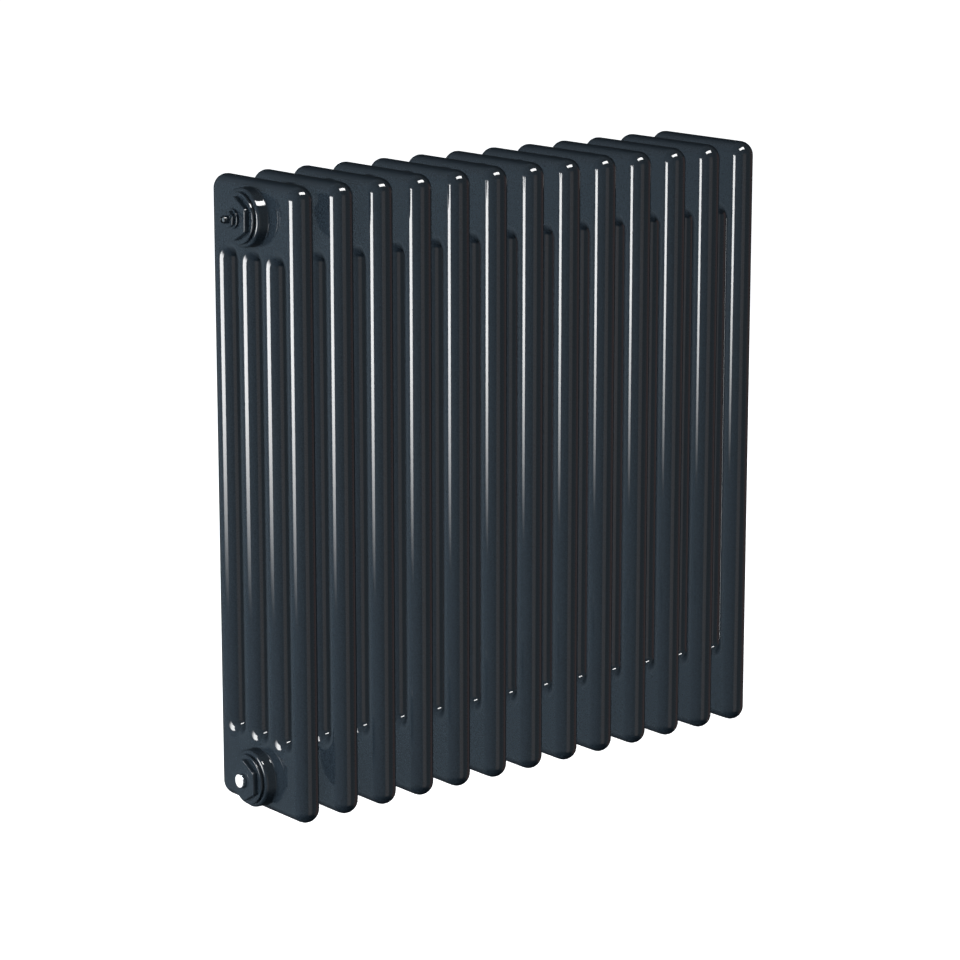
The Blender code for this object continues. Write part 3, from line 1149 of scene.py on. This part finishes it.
@dataclass
class Studio:
    """The pale floor, the light and the camera."""

    floor_size: float = 12.0
    room_light: float = 0.28
    room_dark: float = 0.02
    dark_side: tuple[float, float, float] = (0.695, 0.719, 0.0)
    lens: float = 123.21
    camera_place: tuple[float, float, float] = (-1.9608, -2.4563, 0.9893)
    camera_tilt: float = 77.320
    camera_heading: float = -38.449

    def build(self) -> None:
        """Builds the room round the part."""
        self.build_floor()
        self.build_world()
        for card in self.cards():
            card.build()
        self.build_camera()
        bpy.context.scene.view_settings.view_transform = "Standard"

    def cards(self) -> list[Card]:
        """The cards that light the part.

        Returns:
            The cards.
        """
        white = (1.0, 1.0, 1.0)
        grey = (1.0, 0.94, 0.92)
        brown = (1.0, 0.66, 0.60)
        sky = (0.74, 0.90, 1.0)
        return [
            Card("left_strip", (-1.25, 0.215, 0.26), (1.0, 0.0, 0.0), (0.56, 0.68), white, 19.0, -0.10, 0.27),
            Card("left_fill", (-2.2, 0.2, 0.5), (1.0, -0.1, 0.0), (2.0, 2.0), white, 6.0, matt=True),
            Card("right_fill", (2.2, 0.2, 0.5), (-1.0, -0.1, 0.0), (2.0, 2.0), white, 2.2, matt=True),
            Card("top_strip", (0.02, -0.63, 1.53), (0.0, 0.5, -0.85), (0.95, 0.36), white, 26.0),
            Card("rear_left_card", (-2.2, 2.6, -0.4), (0.65, -0.75, 0.1), (2.6, 3.6), sky, 0.30),
            Card("grey_front_card", (0.0, -3.5, -0.5), (0.0, 1.0, 0.15), (2.0, 4.4), grey, 0.64),
            Card("brown_side_card", (3.4, -0.70, -0.5), (-1.0, 0.28, 0.15), (1.8, 4.4), brown, 0.26),
        ]

    def build_floor(self) -> None:
        """Builds the plain pale floor under the part."""
        bm = bmesh.new()
        bmesh.ops.create_grid(bm, x_segments=1, y_segments=1, size=self.floor_size / 2)
        bmesh.ops.translate(bm, verts=bm.verts, vec=(0, 0, cad_box[0][2] - 0.0005))
        mesh = bpy.data.meshes.new("pale_floor")
        bm.to_mesh(mesh)
        bm.free()
        sketch = NodeSketch("pale_floor")
        sketch.shader.inputs["Base Color"].default_value = (0.8, 0.8, 0.8, 1.0)
        sketch.shader.inputs["Roughness"].default_value = 1.0
        sketch.shader.inputs["Specular IOR Level"].default_value = 0.0
        sketch.shader.inputs["Emission Color"].default_value = (1.0, 1.0, 1.0, 1.0)
        sketch.shader.inputs["Emission Strength"].default_value = 1.0
        mesh.materials.append(sketch.material)
        floor = bpy.data.objects.new("pale_floor", mesh)
        bpy.context.scene.collection.objects.link(floor)
        floor.visible_glossy = False
        floor.visible_diffuse = False
        floor.visible_shadow = False

    def build_world(self) -> None:
        """Makes a white backdrop for the camera and a dim room for everything else.

        The room is dark behind the far end and steeply below, so that the edges there stay dark.
        """
        world = bpy.data.worlds.new("studio")
        world.use_nodes = True
        tree = world.node_tree
        output = tree.nodes["World Output"]
        dim = tree.nodes["Background"]
        dim.inputs["Color"].default_value = (0.80, 0.92, 1.0, 1.0)
        place = tree.nodes.new("ShaderNodeTexCoord").outputs["Generated"]
        beside = self.room_share(tree, place, self.dark_side, (0.85, 0.25), self.room_light)
        below = self.room_share(tree, place, (0.0, 0.0, -1.0), (0.85, 0.40), 1.0)
        both = tree.nodes.new("ShaderNodeMath")
        both.operation = "MULTIPLY"
        tree.links.new(beside, both.inputs[0])
        tree.links.new(below, both.inputs[1])
        tree.links.new(both.outputs["Value"], dim.inputs["Strength"])
        white = tree.nodes.new("ShaderNodeBackground")
        white.inputs["Color"].default_value = (1.0, 1.0, 1.0, 1.0)
        white.inputs["Strength"].default_value = 1.1
        rays = tree.nodes.new("ShaderNodeLightPath")
        pick = tree.nodes.new("ShaderNodeMixShader")
        tree.links.new(rays.outputs["Is Camera Ray"], pick.inputs["Fac"])
        tree.links.new(dim.outputs["Background"], pick.inputs[1])
        tree.links.new(white.outputs["Background"], pick.inputs[2])
        tree.links.new(pick.outputs["Shader"], output.inputs["Surface"])
        bpy.context.scene.world = world

    def room_share(
        self,
        tree: bpy.types.NodeTree,
        place: bpy.types.NodeSocket,
        away: tuple[float, float, float],
        span: tuple[float, float],
        most: float,
    ) -> bpy.types.NodeSocket:
        """Makes a light level that falls towards one side of the room.

        Args:
            tree: The world's nodes.
            place: The direction looked in.
            away: The direction of the dark side.
            span: How far a look points to the dark side where the light is least, and where it is most.
            most: The light away from the dark side.

        Returns:
            The light level.
        """
        share = tree.nodes.new("ShaderNodeVectorMath")
        share.operation = "DOT_PRODUCT"
        share.inputs[1].default_value = away
        tree.links.new(place, share.inputs[0])
        level = tree.nodes.new("ShaderNodeMapRange")
        level.interpolation_type = "SMOOTHSTEP"
        level.inputs["From Min"].default_value = span[0]
        level.inputs["From Max"].default_value = span[1]
        level.inputs["To Min"].default_value = self.room_dark
        level.inputs["To Max"].default_value = most
        tree.links.new(share.outputs["Value"], level.inputs["Value"])
        return level.outputs["Result"]

    def build_camera(self) -> None:
        """Sets the camera up in front of the vented end, a little above the part."""
        lens = bpy.data.cameras.new("camera")
        lens.lens = self.lens
        lens.sensor_width = 36.0
        camera = bpy.data.objects.new("camera", lens)
        camera.location = self.camera_place
        camera.rotation_euler = (math.radians(self.camera_tilt), 0.0, math.radians(self.camera_heading))
        bpy.context.scene.collection.objects.link(camera)
        bpy.context.scene.camera = camera


class Radiator:
    """The whole radiator: sections, hub rings and the fittings of its four ports."""

    def __init__(self) -> None:
        """Reads the frame for the number of sections and the places of the ports."""
        self.finishes = Finishes()
        self.count = sum(name.startswith("section_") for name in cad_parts)
        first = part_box("section_01")
        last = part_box(f"section_{self.count:02d}")
        sides = {End.LEFT: first[0][0], End.RIGHT: last[1][0]}
        self.ports = {}
        for end, side in sides.items():
            for level in Level:
                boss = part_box(f"end_boss_{level.value}_{end.value}")
                self.ports[end, level] = Port(end, level, side, (boss[0][2] + boss[1][2]) / 2)

    def build(self) -> None:
        """Builds every piece."""
        Sections(self.count, self.finishes).build()
        HubRings(self.count - 1, self.finishes).build()
        turns = {"top_left": 31.0, "bottom_left": 29.0, "top_right": 32.0, "bottom_right": 27.0}
        for (end, _), port in self.ports.items():
            EndFittings(port, self.finishes, turns[port.label], end is End.RIGHT).build()
        AirVent(self.ports[End.LEFT, Level.TOP], self.finishes).build()
        BlankingPlug(self.ports[End.LEFT, Level.BOTTOM], self.finishes).build()


def main() -> None:
    """Builds the radiator and the studio."""
    logging.basicConfig(level=logging.INFO, format="%(name)s: %(message)s")
    Radiator().build()
    Studio().build()


if __name__ == "__main__":
    main()
